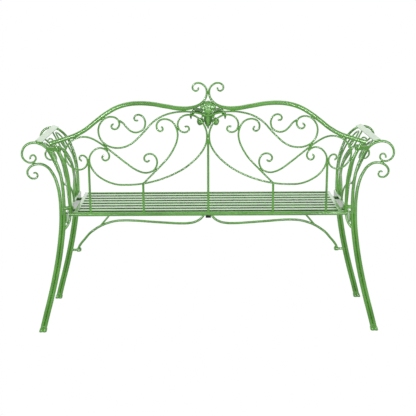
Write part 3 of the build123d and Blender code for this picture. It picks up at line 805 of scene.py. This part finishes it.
def bead(bm, centre, along, across, long, wide, deep, seed):
    """Run of weld: an ellipsoid with the ripples of its passes."""
    out = along.cross(across).normalized()
    across = out.cross(along).normalized()
    rings = []
    for i in range(BEAD_ROWS):
        s = -math.cos(math.pi * (i + 0.5) / BEAD_ROWS)
        body = math.sqrt(1 - s * s)**0.8 * (1 + 0.09 * math.cos(5 * math.pi * s + seed))
        place = centre + along * s * long
        ring = []
        for j in range(BEAD_COLUMNS):
            turn = 2 * math.pi * j / BEAD_COLUMNS
            lump = 1 + 0.12 * noise.noise(place * 900 + Vector((turn, seed, 0)))
            reach = across * math.cos(turn) * wide + out * math.sin(turn) * deep
            ring.append(bm.verts.new(place + reach * body * lump))
        rings.append(ring)
    close_rings(bm, rings)


def touching(first, second, reach, spacing):
    """Places where two nodes come within reach of each other, at least this far apart."""
    low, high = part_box(first)
    other = tree(first)
    near = []
    for point in vertices(second):
        if all(low[k] - reach < point[k] < high[k] + reach for k in range(3)):
            hit, _, _, distance = other.find_nearest(point, reach)
            if hit is not None:
                near.append((round(distance, 5), round(point.z, 4), point, hit))
    near.sort(key=lambda item: (item[0], item[1]))
    places = []
    for _, _, point, hit in near:
        if all((point - place[0]).length > spacing for place in places):
            places.append((point, hit))
    return places


def weld_side_by_side(bm, first, second, reach, spacing, long, wide, deep, above=0):
    """Beads in the groove between two rods that run side by side."""
    cloud = vertices(second)
    for number, (point, hit) in enumerate(touching(first, second, reach, spacing)):
        centre = (point + hit) / 2
        nearby = [p for p in cloud if (p - centre).length < NEAR_WELD]
        if centre.z < above or len(nearby) < FEWEST_POINTS:
            continue
        middle = mean(nearby)
        along = main_direction(nearby, middle)
        across = middle - centre
        across = across - along * across.dot(along)
        if across.length > FLAT:
            bead(bm, centre, along, across.normalized(), long, wide, deep, number * 1.3)


def ring_weld(bm, node, other, radius):
    """Bead all round the end of a rod where it stands on another piece."""
    for points in islands(nodes[node]):
        contact = [p for p in points if tree(other).find_nearest(p, TOUCH)[0] is not None]
        if len(contact) < FEWEST_CONTACTS:
            continue
        centre = mean(contact)
        along = (mean([p for p in points if (p - centre).length < ROD_END]) - centre).normalized()
        side = along.orthogonal().normalized()
        other_side = along.cross(side)
        rings = []
        for i in range(RING_COLUMNS):
            turn = 2 * math.pi * i / RING_COLUMNS
            out = side * math.cos(turn) + other_side * math.sin(turn)
            foot = min(contact, key=lambda p: (p - centre - out * radius).length)
            start = centre + out * radius + along * (foot - centre).dot(along)
            size = (RING_BEAD_R + RING_BEAD_SWELL * math.sin(7 * turn)) * MM
            ring = []
            for j in range(RING_TURNS):
                angle = 2 * math.pi * j / RING_TURNS
                ring.append(bm.verts.new(start + (out * math.cos(angle) + along * math.sin(angle)) * size))
            rings.append(ring)
        for low, high in zip(rings, rings[1:] + rings[:1]):
            join_rings(bm, low, high)


bm = bmesh.new()
for side in ("left", "right"):
    rods = [f"{name}_{side}" for name in PANEL_RODS]
    for k, first in enumerate(rods):
        for second in rods[k + 1:]:
            weld_side_by_side(bm, first, second, *ROD_WELD)
    for name in ("rear", "front"):
        pair = (f"{name}_inner_leg_{side}", f"{name}_outer_leg_{side}")
        weld_side_by_side(bm, *pair, *LEG_WELD, SCROLL_ZONE)
for first in ("top_rail", "heart_scroll"):
    weld_side_by_side(bm, f"{first}_left", f"{first}_right", *MIDDLE_WELD)
from_bmesh("weld_beads_rods", bm, paint_weld, 60)

# The two bars of each leg are joined by a run of weld along the groove between them; its paint is darkened
# as painted shade in the groove.
bm = bmesh.new()
for side in ("left", "right"):
    for name in ("rear", "front"):
        first = f"{name}_inner_leg_{side}"
        second = f"{name}_outer_leg_{side}"
        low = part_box(first)[0].z + SEAM_START
        places = [(point + hit) / 2 for point, hit in touching(first, second, SEAM_GAP, SEAM_SPACING)]
        places = sorted([p for p in places if low < p.z < SEAM_END], key=lambda p: p.z)
        line = curve_through(places, 6)
        radii = []
        for k in range(len(line)):
            radii.append((SEAM_R + 0.12 * math.sin(0.9 * k) + 0.07 * math.sin(2.3 * k)) * MM)
        tube(bm, line, radii, 12)
from_bmesh("weld_seams_legs", bm, paint_seam_shaded, 60)

bm = bmesh.new()
for node in ("back_bar_centre", "back_bars_middle", "back_bars_outer"):
    ring_weld(bm, node, "back_foot_rail", BAR_WELD_R)
for side in ("left", "right"):
    ring_weld(bm, f"back_post_{side}", "back_foot_rail", POST_WELD_R)
    ring_weld(bm, f"side_lyre_rods_{side}", "side_lower_rails", THIN_WELD_R)
    ring_weld(bm, f"side_lyre_rods_{side}", f"armrest_{side}", THIN_WELD_R)
ring_weld(bm, "side_struts", "side_lower_rails", THIN_WELD_R)
from_bmesh("weld_beads_ends", bm, paint_weld, 60)

# ---- studio -----------------------------------------------------------------------------------------------
FLOOR_REACH = 700            # metres each way, so that the floor fills the picture up to the horizon
BACKDROP_GLOW = 1.0


def backdrop_material():
    """White that gives the same brightness everywhere."""
    material, shader = new_material("pale floor", (0, 0, 0), 1.0)
    shader.inputs["Specular IOR Level"].default_value = 0
    shader.inputs["Emission Color"].default_value = (1, 1, 1, 1)
    shader.inputs["Emission Strength"].default_value = BACKDROP_GLOW
    return material


def backdrop(name, corners, faces):
    """Piece of the glowing backdrop. It doesn't light the paint, which the studio does alone."""
    mesh = bpy.data.meshes.new(name)
    mesh.from_pydata(corners, [], faces)
    mesh.materials.append(pale)
    obj = new_object(name, mesh)
    obj.visible_diffuse = False
    obj.visible_glossy = False
    obj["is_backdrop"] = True
    return obj


pale = backdrop_material()
floor_corners = [(x * FLOOR_REACH, y * FLOOR_REACH, 0) for x, y in ((-1, -1), (1, -1), (1, 1), (-1, 1))]
high_corners = [(x, y, FLOOR_REACH) for x, y, _ in floor_corners]
wall_faces = [(k, (k + 1) % 4, (k + 1) % 4 + 4, k + 4) for k in range(4)]
backdrop("floor", floor_corners, [(0, 1, 2, 3)])
# Walls at the edges of the floor, so that low views meet no horizon.
walls = backdrop("backdrop", floor_corners + high_corners, wall_faces)
walls.visible_shadow = False

# Brightness of the room by direction.
SITTER_WALL = 1.35           # bright wall on the sitter's side
CAMERA_WALL = 0.10           # dim room behind the camera
SIDE_GLOW = 0.60
CEILING = 0.15
FAR_GROUND = 0.80
NEAR_GROUND = 0.26
HORIZON = (-0.06, 0.03)      # heights between which the ground turns into wall

world = bpy.data.worlds.new("studio")
bpy.context.scene.world = world
world.use_nodes = True
world_nodes = world.node_tree.nodes
world_links = world.node_tree.links


def world_range(value, start, end, low, high):
    node = world_nodes.new("ShaderNodeMapRange")
    for name, number in (("From Min", start), ("From Max", end), ("To Min", low), ("To Max", high)):
        node.inputs[name].default_value = number
    world_links.new(value, node.inputs["Value"])
    return node.outputs["Result"]


def world_math(operation, first, second):
    node = world_nodes.new("ShaderNodeMath")
    node.operation = operation
    world_links.new(first, node.inputs[0])
    world_links.new(second, node.inputs[1])
    return node.outputs["Value"]


split = world_nodes.new("ShaderNodeSeparateXYZ")
world_links.new(world_nodes.new("ShaderNodeTexCoord").outputs["Generated"], split.inputs["Vector"])
across, depth, height = (split.outputs[axis] for axis in ("X", "Y", "Z"))
wall_light = world_range(depth, -0.60, 0.10, SITTER_WALL, CAMERA_WALL)
ceiling_light = world_range(height, 0.45, 0.85, 0.0, CEILING)
left_light = world_range(across, 0.70, 0.95, 0.0, SIDE_GLOW)
right_light = world_range(across, -0.70, -0.95, 0.0, SIDE_GLOW)
ground_light = world_range(depth, -0.95, 0.10, FAR_GROUND, NEAR_GROUND)
side_light = world_math("ADD", left_light, right_light)
room_light = world_math("ADD", world_math("ADD", wall_light, ceiling_light), side_light)
sky = world_math("MULTIPLY", room_light, world_range(height, *HORIZON, 0.0, 1.0))
ground = world_math("MULTIPLY", ground_light, world_range(height, *HORIZON, 1.0, 0.0))
background = world_nodes["Background"]
background.inputs["Color"].default_value = (1, 1, 1, 1)
world_links.new(world_math("ADD", sky, ground), background.inputs["Strength"])

LIGHT_TARGET = Vector((0, 0, 0.5))
KEY_SIZE = (1.3, 0.7)
OVERHEAD_SIZE = (2.4, 0.6)


def area_light(name, spot, size, power):
    """Soft box that points at the bench: spot and size in metres, power in watts."""
    data = bpy.data.lights.new(name, "AREA")
    data.shape = "RECTANGLE"
    data.size, data.size_y = size
    data.energy = power
    obj = bpy.data.objects.new(name, data)
    bpy.context.scene.collection.objects.link(obj)
    obj.location = spot
    obj.rotation_euler = (LIGHT_TARGET - Vector(spot)).to_track_quat("-Z", "Y").to_euler()
    obj.visible_camera = False
    obj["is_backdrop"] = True


# Two wide boxes low behind the camera light the rods but leave the slats' rear faces in each other's shade.
area_light("key_left", (1.7, 4.6, 0.78), KEY_SIZE, 122)
area_light("key_right", (-1.5, 4.6, 0.78), KEY_SIZE, 104)
area_light("overhead", (0, 0.3, 3.0), OVERHEAD_SIZE, 14)

# ---- camera -----------------------------------------------------------------------------------------------
# The bench is seen from behind and a little above.
SENSOR_WIDTH = 36            # millimetres
LENS = 89.965                # millimetres
CAMERA_X = 0.0236            # metres
CAMERA_Y = 3.9027            # from the middle between the leg frames
CAMERA_Z = 1.2118
YAW = math.radians(-0.35)
PITCH = math.radians(11.46)  # down
ROLL = math.radians(-0.21)

beam_low, beam_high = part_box("side_beam_left")
middle_y = (beam_low.y + beam_high.y) / 2
camera_data = bpy.data.cameras.new("camera")
camera_data.sensor_width = SENSOR_WIDTH
camera_data.lens = LENS
camera = bpy.data.objects.new("camera", camera_data)
bpy.context.scene.collection.objects.link(camera)
forward = Vector((math.sin(YAW) * math.cos(PITCH), -math.cos(YAW) * math.cos(PITCH), -math.sin(PITCH)))
level = forward.cross(Vector((0, 0, 1))).normalized()
upright = level.cross(forward)
right = level * math.cos(ROLL) + upright * math.sin(ROLL)
up = upright * math.cos(ROLL) - level * math.sin(ROLL)
turned = Matrix((right, up, -forward)).transposed().to_4x4()
camera.matrix_world = Matrix.Translation((CAMERA_X, CAMERA_Y + middle_y, CAMERA_Z)) @ turned
bpy.context.scene.camera = camera
bpy.context.scene.view_settings.view_transform = "Standard"

low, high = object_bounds()
